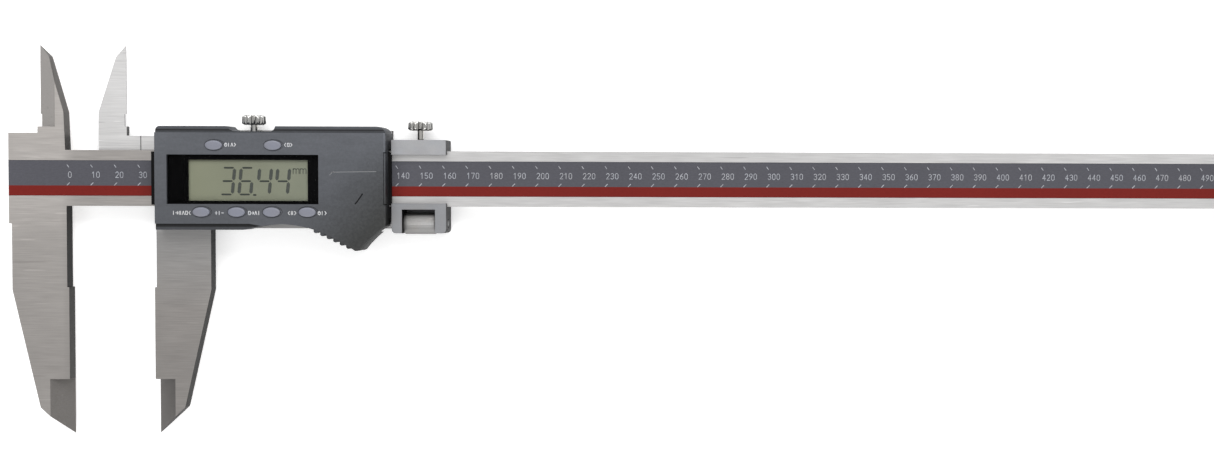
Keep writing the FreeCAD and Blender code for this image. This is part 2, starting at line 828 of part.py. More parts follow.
def elliptic_prism(name, x, y, margin, bottom, top):
    """An upright elliptic prism of a button's outline, grown by a margin all round."""
    outline = document.addObject("Part::Ellipse", f"{name}_outline")
    for path, radius in (("MajorRadius", button_major), ("MinorRadius", button_minor)):
        radius = radius + margin
        setattr(outline, path, radius.value)
        bind(outline, path, radius)
    corner = [as_size(length) for length in (x, y, bottom)]
    outline.Placement.Base = vector(*(length.value for length in corner))
    for axis, length in zip("xyz", corner):
        bind(outline, f"Placement.Base.{axis}", length)
    prism = document.addObject("Part::Extrusion", name)
    prism.Base = outline
    prism.DirMode = "Normal"
    prism.Solid = True
    height = as_size(top) - bottom
    prism.LengthFwd = height.value
    bind(prism, "LengthFwd", height)
    return prism


def make_buttons():
    rim_top = housing_front - housing_skin - 0.2
    rim_bottom = rim_top - 1.1
    domes = []
    for name, (x, y) in button_places().items():
        cap_top = housing_front + button_rise
        cap = elliptic_prism(f"{name}_cap", x, y, 0, rim_bottom, cap_top)
        rim = elliptic_prism(f"{name}_rim", x, y, button_rim, rim_bottom, rim_top)
        place(group(name, [fuse(f"{name}_whole", [cap, rim])]), name)
        dome_top = rim_bottom - button_travel - 0.1
        domes.append(rod(f"{name}_dome", 1.8, board_front + 0.5, dome_top, "z", (x, y)))
    sheets = [
        block("upper_keypad", (21.7, 58.8), (23.4, 28.8), (board_front, board_front + 1)),
        block("lower_keypad", (17.3, 72.5), (-5.4, 0.5), (board_front, board_front + 1)),
    ]
    upper = fuse("upper_membrane", [sheets[0], *domes[:2]])
    lower = fuse("lower_membrane", [sheets[1], *domes[2:]])
    place(group("keypad_membrane", [upper, lower]), "keypad_membrane")


def make_display():
    frame_back = housing_front - housing_skin - 1.1
    frame_front = housing_front - housing_skin - 0.05
    body = new_body("display_bezel")
    outer = rectangle(window_left - 1.2, window_right + 1.2, 0.7, window_top + 0.6)
    pad(body, outer, frame_back, frame_front)
    opening = rectangle(glass_left, glass_right, glass_bottom, glass_top)
    pocket(body, opening, frame_back, frame_front)
    fit = 0.1
    window = block(
        "window",
        (window_left + fit, window_right - fit),
        (window_bottom + fit, window_top - fit),
        (frame_front, housing_front - 0.5),
    )
    place(body, "display_bezel")
    place_block(window, "display_window")
    lcd_front = frame_back
    margin = 1.9
    lcd = block(
        "lcd",
        (glass_left - margin, glass_right + margin),
        (window_bottom, window_top - 0.2),
        (lcd_front - 2, lcd_front),
    )
    place_block(lcd, "lcd_panel")
    levels = (board_front, lcd_front - 2)
    strips = [
        block(f"contact_strip_{y}", (glass_left + 1, glass_right - 1), (y, y + 1.4), levels)
        for y in (1.4, 20.2)
    ]
    place(group("display_contact_strips", strips), "display_contact_strips")


def make_circuit_board():
    body = new_body("circuit_board")
    outline = rectangle(board_left, board_right, board_bottom, rail_top)
    pad(body, outline, board_back, board_front)
    place(body, "circuit_board")
    chip = block("chip", (37.7, 45.7), (7, 15), (board_front, board_front + 1.2))
    place_block(chip, "measuring_chip")


def make_battery():
    body = new_body("battery_drawer")
    end_left = housing_right - drawer_end
    tray_low, tray_high = drawer_bottom + drawer_gap, drawer_top - drawer_gap
    tray = rectangle(drawer_left, end_left + 0.3, tray_low, tray_high)
    pad(body, tray, drawer_back, drawer_front)
    end_plate = rectangle(end_left, housing_right, drawer_bottom, drawer_top)
    plate_top = housing_front - housing_skin - drawer_gap / 2
    pad(body, end_plate, drawer_back, plate_top)
    lip = rectangle(housing_right - drawer_lip, housing_right, drawer_bottom, drawer_top)
    pad(body, lip, plate_top - 1, housing_front - 0.5)
    centre_y = (drawer_bottom + drawer_top) / 2
    cell_bottom = drawer_back + 0.8
    drill_z(body, [(cell_x, centre_y)], cell_radius + 0.1, cell_bottom, drawer_front)
    place(body, "battery_drawer")
    place_block(
        rod("coin", cell_radius, cell_bottom, cell_bottom + cell_thickness, "z", (cell_x, centre_y)),
        "battery_cell",
    )
    skin = housing_front - housing_skin
    contacts = [
        block("contact_plus", (75.7, 85.7), (15, 19), (skin - 0.25, skin - 0.05)),
        block("contact_minus", (board_right + 0.3, drawer_left - 0.3), (6, 10), (board_front, skin - 1)),
    ]
    place(group("battery_contacts", contacts), "battery_contacts")


def make_case_screws():
    screws = [
        screw_up(f"case_screw_{n}", x, y, 0.3, 17)
        for n, (x, y) in enumerate(case_screw_places, 1)
    ]
    place(group("case_screws", screws), "case_screws")


def make_wipers():
    back = beam_front + wiper_lift
    for label, left, right in (
        ("left_wiper", wiper_left, housing_left),
        ("right_wiper", housing_right, housing_right + wiper_length),
    ):
        body = new_body(label)
        outline = rectangle(left, right, wiper_margin, beam_height - wiper_margin)
        pad(body, outline, back, back + wiper_height)
        place(body, label)


def knob(label, x, foot, neck_top, head_bottom, head_top, waist, across):
    """A knurled clamp screw along Y: a threaded shank, a neck and a round head."""
    body = new_body(label)
    outline = [
        (clamp_shank, foot),
        (clamp_shank, neck_top),
        (waist, neck_top),
        (waist, head_bottom),
        (across - 0.6, head_bottom),
        (across, head_bottom + 0.6),
        (across, head_top - 0.7),
        (across - 0.7, head_top),
        (0, head_top),
        (0, foot),
    ]
    turn(body, outline, "V_Axis")
    place(body, label, along=x, up=clamp_z)


def make_clamps():
    gib_top = beam_height + running_gap + gib_thickness
    pad_bottom = gib_top + pad_gap
    pad_top = pad_bottom + pad_height
    tip = rod("slider_pad", pad_radius, pad_bottom, pad_top, "y", (clamp_x, clamp_z))
    place_block(tip, "slider_clamp_pad")
    head = (knob_low, knob_high, knob_waist, knob_radius)
    knob("slider_clamp_screw", clamp_x, pad_top, rail_top + neck_rise, *head)
    leaf_bottom = beam_height + pad_gap
    leaf_top = leaf_bottom + leaf_thickness
    leaf = block(
        "carriage_leaf",
        (carriage_clamp_x - leaf_half_length, carriage_clamp_x + leaf_half_length),
        (leaf_bottom, leaf_top),
        (clamp_z - leaf_half_width, clamp_z + leaf_half_width),
    )
    place_block(leaf, "carriage_clamp_pad")
    head = (carriage_knob_low, carriage_knob_high, carriage_knob_waist, carriage_knob_radius)
    knob("carriage_clamp_screw", carriage_clamp_x, leaf_top, carriage_top + neck_rise, *head)


# ---------------------------------------------------------------------------- the carriage
def make_carriage():
    body = new_body("carriage_frame")
    left, right = carriage_left, carriage_right
    root = back_wall - 0.5
    pad(body, rectangle(left, right, carriage_bottom, carriage_top), 0, back_wall)
    upper_low = beam_height + running_gap
    pad(body, rectangle(left, right, upper_low, carriage_top), root, carriage_front)
    pad(body, rectangle(left, right, carriage_bottom, -running_gap), root, carriage_front)
    lip_back = beam_front + 0.2
    upper_lip = rectangle(left, right, beam_height - carriage_lip, upper_low + 0.5)
    pad(body, upper_lip, lip_back, carriage_front)
    lower_lip = rectangle(left, right, -0.5, carriage_lip - 0.2)
    pad(body, lower_lip, lip_back, carriage_front)
    window = rectangle(
        left + carriage_cheek, right - carriage_cheek_right, carriage_bottom - 1, nut_window_top
    )
    pocket(body, window, nut_window_floor, carriage_front)
    drill_x(body, [(rod_y, rod_z)], rod_radius + 0.08, left, right)
    room_length, room_width = leaf_half_length + leaf_gap, leaf_half_width + leaf_gap
    room_left, room_right = carriage_clamp_x - room_length, carriage_clamp_x + room_length
    leaf_room = rectangle(room_left, room_right, beam_height - 0.1, beam_height + 2.4)
    pocket(body, leaf_room, clamp_z - room_width, clamp_z + room_width)
    screw_line = [(carriage_clamp_x, clamp_z)]
    drill_y(body, screw_line, clamp_shank + running_gap, beam_height + 2, carriage_top + 1)
    corners = [(left, carriage_bottom), (right, carriage_bottom)]
    soften(body, "Fillet", upright_at(corners), 1.8)
    soften(body, "Fillet", upright_at([(left, carriage_top), (right, carriage_top)]), 0.6)
    place(body, "carriage_frame")


def make_fine_drive():
    screw = rod("feed_rod", rod_radius, rod_boss_left + 3, carriage_right - 0.4, "x", (rod_y, rod_z))
    place_block(screw, "fine_screw")
    body = new_body("fine_nut")
    half = nut_length / 2
    bore = rod_radius + nut_bore_gap
    outline = [
        (-half, bore),
        (half, bore),
        (half, nut_radius - 0.5),
        (half - 0.5, nut_radius),
        (-half + 0.5, nut_radius),
        (-half, nut_radius - 0.5),
    ]
    turn(body, outline, "H_Axis")
    window_left_x = carriage_left + carriage_cheek
    window_right_x = carriage_right - carriage_cheek_right
    middle = (window_left_x + window_right_x) / 2
    place(body, "fine_nut", along=middle, across=rod_y, up=rod_z)


# ---------------------------------------------------------------------------------- export
def check(thing):
    """Stop if an object failed or a sub-part has no sound shape."""
    if "Invalid" in thing.State or "Error" in thing.State:
        raise RuntimeError(f"{thing.Label} did not recompute: {thing.State}")


def export():
    document.recompute()
    for thing in document.Objects:
        check(thing)
    os.makedirs("parts", exist_ok=True)
    for thing in sub_parts:
        shape = thing.Shape
        if shape.isNull() or not shape.isValid() or not shape.Solids:
            raise RuntimeError(f"{thing.Label} has no valid solid")
        shape.exportStep(f"parts/{thing.Label}.step")
        box = shape.BoundBox
        print(
            f"{thing.Label:24s} {len(shape.Solids)} solids {shape.Volume:10.1f} mm3"
            f"  x {box.XMin:7.2f} {box.XMax:7.2f}  y {box.YMin:7.2f} {box.YMax:7.2f}"
            f"  z {box.ZMin:6.2f} {box.ZMax:6.2f}"
        )


make_main_beam()
make_scale_strip()
make_end_stop()
make_slider_frame()
make_gib()
make_sensor_plate()
make_circuit_board()
make_display()
make_buttons()
make_battery()
make_housing()
make_case_screws()
make_wipers()
make_clamps()
make_carriage()
make_fine_drive()
export()
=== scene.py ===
import json
import math

import bmesh
import bpy
from mathutils import Matrix, Vector


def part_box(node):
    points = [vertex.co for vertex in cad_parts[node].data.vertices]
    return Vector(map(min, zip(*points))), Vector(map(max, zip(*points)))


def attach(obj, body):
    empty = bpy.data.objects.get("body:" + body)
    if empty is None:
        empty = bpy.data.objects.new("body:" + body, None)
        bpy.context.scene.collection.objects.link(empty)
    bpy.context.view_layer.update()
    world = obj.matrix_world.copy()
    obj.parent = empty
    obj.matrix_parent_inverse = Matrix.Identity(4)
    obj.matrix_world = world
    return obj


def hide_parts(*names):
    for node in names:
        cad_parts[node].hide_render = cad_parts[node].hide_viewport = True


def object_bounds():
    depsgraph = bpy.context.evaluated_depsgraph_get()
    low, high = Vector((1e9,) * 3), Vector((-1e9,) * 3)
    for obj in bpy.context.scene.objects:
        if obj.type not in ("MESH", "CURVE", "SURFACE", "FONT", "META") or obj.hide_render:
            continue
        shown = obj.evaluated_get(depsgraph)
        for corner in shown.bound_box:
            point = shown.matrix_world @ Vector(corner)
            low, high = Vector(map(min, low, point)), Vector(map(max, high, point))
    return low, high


# Looks of the digital caliper. Lengths in the tables below are drawing millimetres: X from the
# fixed measuring face (on the slider: from the moving one), Y from the beam's lower edge and Z
# from the plane it lies on. The shifts turn them into the row frame's metres.
SLIDER_X, ROW_Y, ROW_Z = 36.44, 54.8, -8.2
MM = 0.001

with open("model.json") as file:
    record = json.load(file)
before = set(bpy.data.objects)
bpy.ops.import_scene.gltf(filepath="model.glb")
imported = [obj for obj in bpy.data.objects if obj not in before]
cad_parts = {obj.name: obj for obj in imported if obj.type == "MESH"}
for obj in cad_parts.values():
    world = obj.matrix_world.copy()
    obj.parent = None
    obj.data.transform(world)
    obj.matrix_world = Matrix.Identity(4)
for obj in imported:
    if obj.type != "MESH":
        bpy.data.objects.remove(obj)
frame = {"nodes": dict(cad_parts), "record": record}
cad_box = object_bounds()
scene = bpy.context.scene


def at(x, y, z, on_slider=True):
    """A drawing place in the row frame, in metres."""
    return Vector((x + (SLIDER_X if on_slider else 0), y + ROW_Y, z + ROW_Z)) / 1000


def row_y(y):
    """A drawing height across the beam, as the row frame's Y in metres."""
    return at(0, y, 0).y


# ------------------------------------------------------------------------------- materials
class Finish:
    """One procedural material, built round its Principled shader."""

    def __init__(self, name, **constants):
        self.material = bpy.data.materials.new(name)
        self.material.use_nodes = True
        self.tree = self.material.node_tree
        self.shader = self.tree.nodes["Principled BSDF"]
        coordinates = self.tree.nodes.new("ShaderNodeTexCoord")
        self.place = coordinates.outputs["Object"]
        self.normal = coordinates.outputs["Normal"]
        for socket, value in constants.items():
            self.shader.inputs[socket.replace("_", " ")].default_value = value

    def node(self, kind, inputs=(), **settings):
        made = self.tree.nodes.new(f"ShaderNode{kind}")
        for name, value in settings.items():
            setattr(made, name, value)
        for key, value in dict(inputs).items():
            self.feed(made.inputs[key], value)
        return made

    def feed(self, socket, value):
        if isinstance(value, bpy.types.NodeSocket):
            self.tree.links.new(value, socket)
        else:
            socket.default_value = value

    def noise(self, scale, stretch=(1, 1, 1), detail=3.0, seed=0.0, rough=0.55):
        """Noise from 0 to 1. The scale counts features per metre; stretch thins them per axis."""
        spread = self.node("Mapping", {"Vector": self.place, "Scale": stretch})
        spread.inputs["Location"].default_value = (seed, seed * 0.7, seed * 1.3)
        inputs = {"Vector": spread.outputs[0], "Scale": scale, "Detail": detail, "Roughness": rough}
        return self.node("TexNoise", inputs).outputs[0]

    def map(self, value, low, high, to_low=0.0, to_high=1.0):
        inputs = {0: value, 1: low, 2: high, 3: to_low, 4: to_high}
        return self.node("MapRange", inputs, clamp=True).outputs[0]

    def vary(self, noise, low, high):
        """Spread a noise, which mostly lies between 0.3 and 0.7, over a range."""
        return self.map(noise, 0.3, 0.7, low, high)

    def calc(self, operation, *values):
        return self.node("Math", dict(enumerate(values)), operation=operation).outputs[0]

    def axis(self, letter, vector=None):
        split = self.node("SeparateXYZ", {0: vector or self.place})
        return split.outputs["XYZ".index(letter)]

    def mix(self, share, first, second, kind="MIX"):
        made = self.node("Mix", data_type="RGBA", blend_type=kind)
        self.feed(made.inputs[0], share)
        for socket, value in ((made.inputs[6], first), (made.inputs[7], second)):
            self.feed(socket, value if isinstance(value, bpy.types.NodeSocket) else rgba(value))
        return made.outputs[2]

    def shade(self, colour, value):
        """Multiply a colour by a grey value."""
        grey = self.node("CombineColor", {0: value, 1: value, 2: value}).outputs[0]
        return self.mix(1.0, colour, grey, "MULTIPLY")

    def between(self, value, low, high, soft=0.00004):
        """1 where the value lies between two limits, with soft edges."""
        rise = self.map(value, low - soft, low + soft)
        fall = self.map(value, high - soft, high + soft, 1.0, 0.0)
        return self.calc("MULTIPLY", rise, fall)

    def bump(self, height, strength, distance):
        inputs = {"Height": height, "Strength": strength, "Distance": distance}
        made = self.node("Bump", inputs)
        self.tree.links.new(made.outputs[0], self.shader.inputs["Normal"])

    def finish(self, colour, roughness=None):
        self.feed(self.shader.inputs["Base Color"], colour)
        if roughness is not None:
            self.feed(self.shader.inputs["Roughness"], roughness)
        return self.material


def rgba(colour):
    return (*colour, 1.0) if len(colour) == 3 else tuple(colour)


def steel(name, tints, along, roughness, seed=0.0, zones=()):
    """Ground steel. Faces that look up are bright; bevels and sides get painted shade and are less
    metallic and rougher. The tint changes along (axis, from, to). Zones are (axis, low, high, soft,
    face, side) in row metres; their last two numbers paint light or shade onto the faces and sides."""
    f = Finish(name)
    streaks = f.noise(2600, (0.03, 1, 1), 4.0, seed)
    fine = f.noise(9000, (0.05, 1, 1), 2.0, seed + 3)
    cloud = f.noise(28, (1, 1, 1), 3.0, seed + 7)
    ground = f.vary(streaks, 0.91, 1.07)
    value = f.calc("ADD", ground, f.vary(cloud, -0.04, 0.04))
    for amount, scale, low in ((0.16, 700, 0.735), (-0.12, 500, 0.72)):
        scratch = f.noise(scale, (0.06, 1, 1), 1.0, seed + 11 + amount)
        value = f.calc("ADD", value, f.map(scratch, low, low + 0.025, 0.0, amount))
    # the sides start at a tenth of the faces' brightness: painted shade
    face, side = 1.0, 0.1
    for letter, low, high, soft, on_face, side_shade in zones:
        inside = f.between(f.axis(letter), low, high, soft)
        face = f.calc("MULTIPLY", face, f.map(inside, 0, 1, 1.0, on_face))
        side = f.calc("MULTIPLY", side, f.map(inside, 0, 1, 1.0, side_shade))
    up = f.map(f.calc("ABSOLUTE", f.axis("Z", f.normal)), 0.62, 0.97)
    painted_side_shade = f.calc("MULTIPLY", side, f.calc("SUBTRACT", 1.0, up))
    lit = f.calc("ADD", f.calc("MULTIPLY", face, up), painted_side_shade)
    f.feed(f.shader.inputs["Metallic"], f.map(up, 0, 0.3, 0.1, 0.82))
    f.feed(f.shader.inputs["Specular IOR Level"], f.map(up, 0, 0.3, 0.1, 0.5))
    f.bump(fine, 0.25, 0.00002)
    letter, start, end = along
    tint = f.mix(f.map(f.axis(letter), start, end), *tints)
    rough = f.vary(streaks, roughness - 0.05, roughness + 0.06)
    rough = f.calc("ADD", rough, f.map(up, 0, 0.3, 0.25, 0.0))
    return f.finish(f.shade(tint, f.calc("MULTIPLY", value, lit)), rough)


def drift(f, colour):
    """A colour that drifts a little between a warmer and a cooler tint."""
    cloud = f.noise(90, (1, 1, 1), 2.0, 5.0)
    warm = tuple(c * k for c, k in zip(colour, (1.015, 1.0, 0.98)))
    cool = tuple(c * k for c, k in zip(colour, (0.985, 1.0, 1.02)))
    return f.mix(f.map(cloud, 0.35, 0.65), warm, cool)


def plain_metal(name, tint, roughness, speckle=0.08, metallic=1.0, scale=1500):
    f = Finish(name, Metallic=metallic)
    grain = f.noise(scale, (1, 1, 1), 3.0, 2.0)
    value = f.vary(grain, 1 - speckle, 1 + speckle)
    f.bump(grain, 0.2, 0.00002)
    rough = f.vary(grain, roughness - 0.04, roughness + 0.05)
    return f.finish(f.shade(drift(f, tint), value), rough)


def plastic(name, tint, roughness, speckle=0.12, scale=2200, specular=0.5):
    f = Finish(name, Specular_IOR_Level=specular)
    grain = f.noise(scale, (1, 1, 1), 4.0, 4.0, 0.7)
    value = f.vary(grain, 1 - speckle, 1 + speckle)
    f.bump(grain, 0.25, 0.00003)
    rough = f.vary(grain, roughness - 0.05, roughness + 0.05)
    return f.finish(f.shade(drift(f, tint), value), rough)


def housing_plastic():
    """Moulded grey plastic: fine spark-eroded grain and scuffs, painted shade on the sides, a
    painted highlight with wear on the bevels, and painted shadow in the seams at both flanges.
    """
    f = Finish("housing_plastic")
    grain = f.noise(3200, (1, 1, 1), 4.0, 1.0, 0.75)
    cloud = f.noise(45, (1, 1, 1), 4.0, 9.0, 0.6)
    scuff = f.noise(260, (0.25, 1, 1), 5.0, 6.0, 0.7)
    speckle = f.vary(grain, 0.88, 1.12)
    value = f.calc("MULTIPLY", speckle, f.vary(cloud, 0.94, 1.06))
    value = f.calc("MULTIPLY", value, f.map(scuff, 0.35, 0.75, 0.93, 1.13))
    x, y, z = (f.axis(letter) for letter in "XYZ")
    # the hook end is duller, more mottled and a little warmer
    dull = f.map(f.calc("SUBTRACT", x, y), 0.05, 0.085)
    mottle = f.map(f.noise(800, (1, 1, 1), 3.0, 12.0, 0.6), 0.35, 0.65, -1.0, 1.0)
    depth = f.map(dull, 0, 1, 0.05, 0.2)
    value = f.calc("MULTIPLY", value, f.calc("ADD", 1.0, f.calc("MULTIPLY", mottle, depth)))
    value = f.calc("MULTIPLY", value, f.map(y, row_y(8), row_y(26), 0.82, 1.0))
    up = f.calc("ABSOLUTE", f.axis("Z", f.normal))
    # bevels between face and sides lighter: a painted highlight, also standing for rubbed edges
    wear_and_edge_highlight = f.calc("MULTIPLY", f.map(up, 0.3, 0.7), f.map(up, 0.75, 0.97, 1.0, 0.0))
    # sides darker than the face: painted shade
    side_shade = f.map(up, 0.2, 0.7, 0.62, 1.0)
    value = f.calc("MULTIPLY", value, f.calc("ADD", side_shade, f.map(wear_and_edge_highlight, 0, 1, 0, 0.55)))
    # on both flanges: darker, with a painted shadow in the seam against the face and, at the top, a
    # painted highlight on the outer edge
    flange = f.between(z, at(0, 0, 19.9).z, at(0, 0, 21.4).z)
    flange_light_and_shade_bands = (
        (31.0, 36, 0.7),
        (32.3, 33.0, 0.2),
        (33.95, 36, 1.5),
        (-12, -7, 0.6),
        (-8.75, -7.2, 0.2),
    )
    for low, high, factor in flange_light_and_shade_bands:
        band = f.between(y, row_y(low), row_y(high), 0.00012)
        value = f.calc("MULTIPLY", value, f.map(f.calc("MULTIPLY", band, flange), 0, 1, 1.0, factor))
    tint = f.mix(dull, (0.083, 0.088, 0.1), (0.0325, 0.034, 0.0335))
    f.feed(f.shader.inputs["Specular IOR Level"], f.map(up, 0.2, 0.7, 0.06, 0.35))
    f.bump(grain, 0.35, 0.00004)
    return f.finish(f.shade(tint, value), f.vary(grain, 0.42, 0.56))


def printed_scale():
    """The strip: a grey band above a red band, under a satin varnish."""
    f = Finish("printed_scale", Specular_IOR_Level=0.14)
    y = f.axis("Y")
    fine = f.noise(1800, (0.4, 1, 1), 4.0, 3.0, 0.7)
    cloud = f.noise(20, (1, 1, 1), 2.0, 8.0)
    red_top = row_y(8.75)
    red = f.map(y, red_top - 0.05 * MM, red_top + 0.05 * MM, 1.0, 0.0)
    colour = f.mix(red, (0.078, 0.078, 0.091), (0.15, 0.011, 0.008))
    speckle = f.vary(fine, 0.9, 1.1)
    value = f.calc("MULTIPLY", speckle, f.vary(cloud, 0.96, 1.05))
    edge = f.between(y, row_y(4.65), row_y(19.35), 0.1 * MM)
    value = f.calc("MULTIPLY", value, f.map(edge, 0, 1, 0.75, 1.0))
    f.bump(fine, 0.15, 0.00002)
    return f.finish(f.shade(colour, value), f.vary(fine, 0.4, 0.52))


def lcd_glass():
    """The reflective panel: grey green, with the surround's soft shadow along its top and left."""
    f = Finish("lcd", Specular_IOR_Level=0.2)
    x, y = f.axis("X"), f.axis("Y")
    cloud = f.noise(60, (1, 1, 1), 3.0, 2.0)
    fine = f.noise(5000, (1, 1, 1), 2.0, 1.0)
    left = f.map(x, at(16.3, 0, 0).x, at(17.6, 0, 0).x, 0.66, 1.0)
    top = f.map(y, row_y(18.4), row_y(20), 1.0, 0.8)
    shadow = f.calc("MULTIPLY", left, top)
    value = f.calc("MULTIPLY", shadow, f.vary(cloud, 0.96, 1.04))
    value = f.calc("MULTIPLY", value, f.vary(fine, 0.98, 1.02))
    across = f.map(x, at(20, 0, 0).x, at(66, 0, 0).x)
    tint = f.mix(across, (0.217, 0.228, 0.16), (0.212, 0.226, 0.17))
    return f.finish(f.shade(tint, value), 0.45)


def clear_window():
    f = Finish("window_clear", Alpha=0.04, Roughness=0.1, Specular_IOR_Level=0.15)
    smear = f.noise(70, (1, 2, 1), 3.0, 3.0)
    return f.finish(f.mix(smear, (0.006, 0.006, 0.007), (0.012, 0.012, 0.014)))


def carriage_metal():
    """Bead-blasted nickel plate; its edges and sides get painted shade, darker than its face."""
    f = Finish("carriage_metal")
    grain = f.noise(2400, (1, 1, 1), 3.0, 2.0)
    cloud = f.noise(120, (1, 1, 1), 2.0, 6.0)
    speckle = f.vary(grain, 0.95, 1.05)
    value = f.calc("MULTIPLY", speckle, f.vary(cloud, 0.95, 1.04))
    # painted shade: faces turned away from straight up fall to 0.07 of the face's brightness
    facing_shade = f.map(f.calc("ABSOLUTE", f.axis("Z", f.normal)), 0.5, 0.97, 0.07, 1.0)
    f.bump(grain, 0.25, 0.00003)
    f.feed(f.shader.inputs["Metallic"], f.map(facing_shade, 0.08, 0.4, 0.05, 0.55))
    f.feed(f.shader.inputs["Specular IOR Level"], f.map(facing_shade, 0.08, 0.4, 0.08, 0.5))
    low_block = f.between(f.axis("Y"), row_y(-20), row_y(10))
    value = f.calc("MULTIPLY", value, facing_shade)
    value = f.calc("MULTIPLY", value, f.map(low_block, 0, 1, 1.0, 0.76))
    colour = f.shade(drift(f, (0.34, 0.345, 0.36)), value)
    return f.finish(colour, f.vary(grain, 0.44, 0.54))


# where the steel's zones of painted light and shade begin and end along Y, and two limits beyond the
# whole caliper
HORN, PLATE, PLATE_TOP, JAW = row_y(30.2), row_y(24.2), row_y(30.6), row_y(-9)
LOW_JAW, NIB, FACE, CHIN = row_y(-45), row_y(-74.6), row_y(-35), row_y(0)
BELOW, ABOVE = -0.2, 0.2
WARM, COOL = (0.5, 0.472, 0.45), (0.5, 0.495, 0.492)
finishes = {
    "beam_steel": steel(
        "beam_steel", (WARM, COOL), ("X", 0.04, 0.1), 0.36,
        zones=(
            ("X", 0.06, 1.0, 0.03, 1.22, 1.0),
            ("X", 0.0, 0.06, 0.003, 0.8, 1.0),
            ("Y", HORN, ABOVE, 0.001, 1.03, 2.4),
            ("Y", BELOW, JAW, 0.01, 0.81, 0.55),
            ("Y", FACE, CHIN, 0.002, 1.0, 0.35),
            ("Y", BELOW, LOW_JAW, 0.02, 0.87, 1.7),
            ("Y", BELOW, NIB, 0.0001, 1.0, 7.0),
        ),
    ),
    "slider_steel": steel(
        "slider_steel", (WARM, COOL), ("Y", LOW_JAW, JAW), 0.36, seed=4.0,
        zones=(
            ("Y", BELOW, JAW, 0.003, 0.66, 0.5),
            ("Y", BELOW, LOW_JAW, 0.02, 0.87, 1.1),
            ("Y", BELOW, NIB, 0.0001, 1.0, 1.25),
            ("Y", PLATE, ABOVE, 0.0005, 1.42, 2.0),
            ("Y", PLATE, PLATE_TOP, 0.0003, 1.12, 1.0),
        ),
    ),
    "dark_steel": steel(
        "dark_steel", ((0.28, 0.28, 0.28), (0.3, 0.3, 0.3)), ("X", 0.6, 0.66), 0.4, seed=9.0
    ),
    "screw_steel": plain_metal("screw_steel", (0.42, 0.41, 0.4), 0.3),
    "knob_steel": plain_metal("knob_steel", (0.5, 0.495, 0.48), 0.16, 0.05),
    "nut_steel": plain_metal("nut_steel", (0.29, 0.285, 0.28), 0.4, 0.06, metallic=0.8),
    "carriage_metal": carriage_metal(),
    "plate_aluminium": plain_metal("plate_aluminium", (0.6, 0.6, 0.61), 0.35),
    "printed_scale": printed_scale(),
    "brass": plain_metal("brass", (0.6, 0.42, 0.16), 0.3),
    "board": plastic("board", (0.02, 0.12, 0.05), 0.35),
    "black_resin": plastic("black_resin", (0.01, 0.01, 0.01), 0.3),
    "bezel_black": plastic("bezel_black", (0.002, 0.002, 0.0022), 0.5, 0.2, specular=0.03),
    "window_clear": clear_window(),
    "lcd": lcd_glass(),
    "grey_rubber": plastic("grey_rubber", (0.12, 0.12, 0.125), 0.7),
    "wiper_rubber": plastic("wiper_rubber", (0.006, 0.006, 0.0065), 0.75, 0.3, specular=0.1),
    "nickel": plain_metal("nickel", (0.42, 0.413, 0.395), 0.36),
    "housing_plastic": housing_plastic(),
    "button_grey": plastic("button_grey", (0.185, 0.192, 0.232), 0.4, 0.05),
}
white_print = plastic("white_print", (0.62, 0.63, 0.65), 0.5, 0.1)
worn_print = plastic("worn_print", (0.36, 0.37, 0.4), 0.5, 0.3, 900)
soft_ink = plastic("soft_ink", (0.046, 0.053, 0.045), 0.5, 0.3, 1200)
dark_ink = plastic("dark_ink", (0.02, 0.025, 0.02), 0.5, 0.15)
shadow_black = plastic("shadow_black", (0.008, 0.008, 0.009), 0.7, 0.2, specular=0.1)
scuff_grey = plastic("scuff_grey", (0.17, 0.175, 0.18), 0.6, 0.2)

for row in frame["record"]["subparts"]:
    node = frame["nodes"][row["node"]]
    node.data.materials.clear()
    node.data.materials.append(finishes[row["material_slot"]])


# ---------------------------------------------------------------------------------- meshes
STEPS_PER_RIDGE = 8


def piece(name, mesh, body, material, replaces=()):
    """Turn a bmesh, already in the row frame, into a piece that rides on a body."""
    data = bpy.data.meshes.new(name)
    mesh.to_mesh(data)
    mesh.free()
    data.materials.append(material)
    made = bpy.data.objects.new(name, data)
    scene.collection.objects.link(made)
    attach(made, body)
    if replaces:
        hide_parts(*replaces)
    return made


def bridge(mesh, first, second, closed=True):
    """Faces between two rows of vertices, side by side; a closed row also joins its ends."""
    count = len(first)
    for n in range(count if closed else count - 1):
        m = (n + 1) % count
        mesh.faces.new((first[n], first[m], second[m], second[n]))


def ribbon(mesh, points, width, height, place, thickness=0.03):
    """A flat printed stroke: raised boxes along the runs between points, in drawing mm. Boxes
    that follow each other differ a little in height, so that no two tops lie in one plane."""
    for number, (start, end) in enumerate(zip(points, points[1:])):
        a, b = Vector(start), Vector(end)
        along = (b - a).normalized() * width / 2
        side = Vector((-along.y, along.x))
        a, b = a - along * 0.8, b + along * 0.8
        top = height + thickness + 0.002 * (number % 3)
        corners = (a - side, b - side, b + side, a + side)
        low = [mesh.verts.new(place(p.x, p.y, height)) for p in corners]
        high = [mesh.verts.new(place(p.x, p.y, top)) for p in corners]
        mesh.faces.new(high)
        bridge(mesh, low, high)


